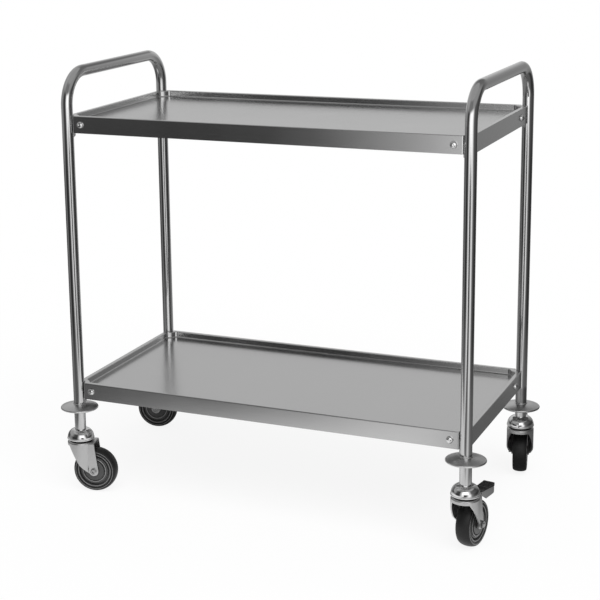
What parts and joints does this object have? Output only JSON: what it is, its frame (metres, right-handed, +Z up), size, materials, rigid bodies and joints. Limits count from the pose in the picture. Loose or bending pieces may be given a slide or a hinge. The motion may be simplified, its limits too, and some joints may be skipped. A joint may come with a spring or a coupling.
{
  "type": "serving trolley",
  "caption": "Tiered serving trolley with pressed tray shelves bolted between bent tube end frames, bumper discs on the legs, and swivel casters, some with a foot brake.",
  "frame": {"origin": "middle of the footprint on the floor, wheels and brake pedals included", "axes": "+X along the trolley's length, -Y towards the front long side, +Z up"},
  "size_m": [1.0186, 0.598, 0.955],
  "materials": {
    "polished_tube": "polished steel tube",
    "sheet_steel": "satin steel sheet",
    "welded_steel": "satin steel plate",
    "bolt_steel": "polished bolt",
    "disc_steel": "smooth grey disc",
    "cup_chrome": "bright plated",
    "seal_rubber": "matte black",
    "fork_zinc": "zinc plated, satin",
    "fastener_zinc": "zinc plated",
    "hub_plastic": "grey moulded plastic",
    "tyre": "dark grey rubber",
    "lever_zinc": "zinc plated, satin",
    "pedal_plastic": "black moulded plastic"
  },
  "bodies": {
    "trolley_frame": {"left_end_frame": "polished_tube", "right_end_frame": "polished_tube", "upper_shelf": "sheet_steel", "upper_shelf_stiffener": "sheet_steel", "upper_bracket_front_left": "welded_steel", "upper_long_bolt_front_left": "bolt_steel", "upper_end_bolt_front_left": "bolt_steel", "upper_bracket_front_right": "welded_steel", "upper_long_bolt_front_right": "bolt_steel", "upper_bracket_back_right": "welded_steel", "upper_long_bolt_back_right": "bolt_steel", "upper_end_bolt_back_right": "bolt_steel", "upper_bracket_back_left": "welded_steel", "upper_long_bolt_back_left": "bolt_steel", "lower_shelf": "sheet_steel", "lower_shelf_stiffener": "sheet_steel", "lower_bracket_front_left": "welded_steel", "lower_long_bolt_front_left": "bolt_steel", "lower_end_bolt_front_left": "bolt_steel", "lower_bracket_front_right": "welded_steel", "lower_long_bolt_front_right": "bolt_steel", "lower_bracket_back_right": "welded_steel", "lower_long_bolt_back_right": "bolt_steel", "lower_end_bolt_back_right": "bolt_steel", "lower_bracket_back_left": "welded_steel", "lower_long_bolt_back_left": "bolt_steel", "front_left_bumper": "disc_steel", "front_left_stem": "cup_chrome", "front_left_seal": "seal_rubber", "front_right_bumper": "disc_steel", "front_right_stem": "cup_chrome", "front_right_seal": "seal_rubber", "back_right_bumper": "disc_steel", "back_right_stem": "cup_chrome", "back_right_seal": "seal_rubber", "back_left_bumper": "disc_steel", "back_left_stem": "cup_chrome", "back_left_seal": "seal_rubber"},
    "front_left_caster": {"front_left_fork": "fork_zinc", "front_left_axle": "fastener_zinc"},
    "front_left_wheel": {"front_left_hub": "hub_plastic", "front_left_tyre": "tyre"},
    "front_right_caster": {"front_right_fork": "fork_zinc", "front_right_axle": "fastener_zinc", "front_right_brake_pin": "fastener_zinc"},
    "front_right_wheel": {"front_right_hub": "hub_plastic", "front_right_tyre": "tyre"},
    "front_right_brake": {"front_right_brake_lever": "lever_zinc", "front_right_brake_pedal": "pedal_plastic"},
    "back_right_caster": {"back_right_fork": "fork_zinc", "back_right_axle": "fastener_zinc", "back_right_brake_pin": "fastener_zinc"},
    "back_right_wheel": {"back_right_hub": "hub_plastic", "back_right_tyre": "tyre"},
    "back_right_brake": {"back_right_brake_lever": "lever_zinc", "back_right_brake_pedal": "pedal_plastic"},
    "back_left_caster": {"back_left_fork": "fork_zinc", "back_left_axle": "fastener_zinc"},
    "back_left_wheel": {"back_left_hub": "hub_plastic", "back_left_tyre": "tyre"}
  },
  "joints": [
    {"name": "front_left_swivel", "type": "hinge", "parent": "trolley_frame", "child": "front_left_caster", "pos_m": [-0.42568, -0.257, 0.1175], "axis": [0, 0, 1], "continuous": true},
    {"name": "front_left_wheel_spin", "type": "hinge", "parent": "front_left_caster", "child": "front_left_wheel", "pos_m": [-0.3934, -0.25014, 0.05], "axis": [-0.2079, 0.9781, 0], "continuous": true},
    {"name": "front_right_swivel", "type": "hinge", "parent": "trolley_frame", "child": "front_right_caster", "pos_m": [0.46732, -0.257, 0.1175], "axis": [0, 0, 1], "continuous": true},
    {"name": "front_right_wheel_spin", "type": "hinge", "parent": "front_right_caster", "child": "front_right_wheel", "pos_m": [0.47305, -0.2245, 0.05], "axis": [-0.9848, 0.1736, 0], "continuous": true},
    {"name": "front_right_brake_press", "type": "hinge", "parent": "front_right_caster", "child": "front_right_brake", "pos_m": [0.47244, -0.22795, 0.109], "axis": [-0.9848, 0.1736, 0], "range_deg": [0, 7]},
    {"name": "back_right_swivel", "type": "hinge", "parent": "trolley_frame", "child": "back_right_caster", "pos_m": [0.46732, 0.186, 0.1175], "axis": [0, 0, 1], "continuous": true},
    {"name": "back_right_wheel_spin", "type": "hinge", "parent": "back_right_caster", "child": "back_right_wheel", "pos_m": [0.46069, 0.21832, 0.05], "axis": [-0.9796, -0.2011, 0], "continuous": true},
    {"name": "back_right_brake_press", "type": "hinge", "parent": "back_right_caster", "child": "back_right_brake", "pos_m": [0.46139, 0.2149, 0.109], "axis": [-0.9796, -0.2011, 0], "range_deg": [0, 7]},
    {"name": "back_left_swivel", "type": "hinge", "parent": "trolley_frame", "child": "back_left_caster", "pos_m": [-0.42568, 0.186, 0.1175], "axis": [0, 0, 1], "continuous": true},
    {"name": "back_left_wheel_spin", "type": "hinge", "parent": "back_left_caster", "child": "back_left_wheel", "pos_m": [-0.45818, 0.18027, 0.05], "axis": [0.1736, -0.9848, 0], "continuous": true}
  ]
}
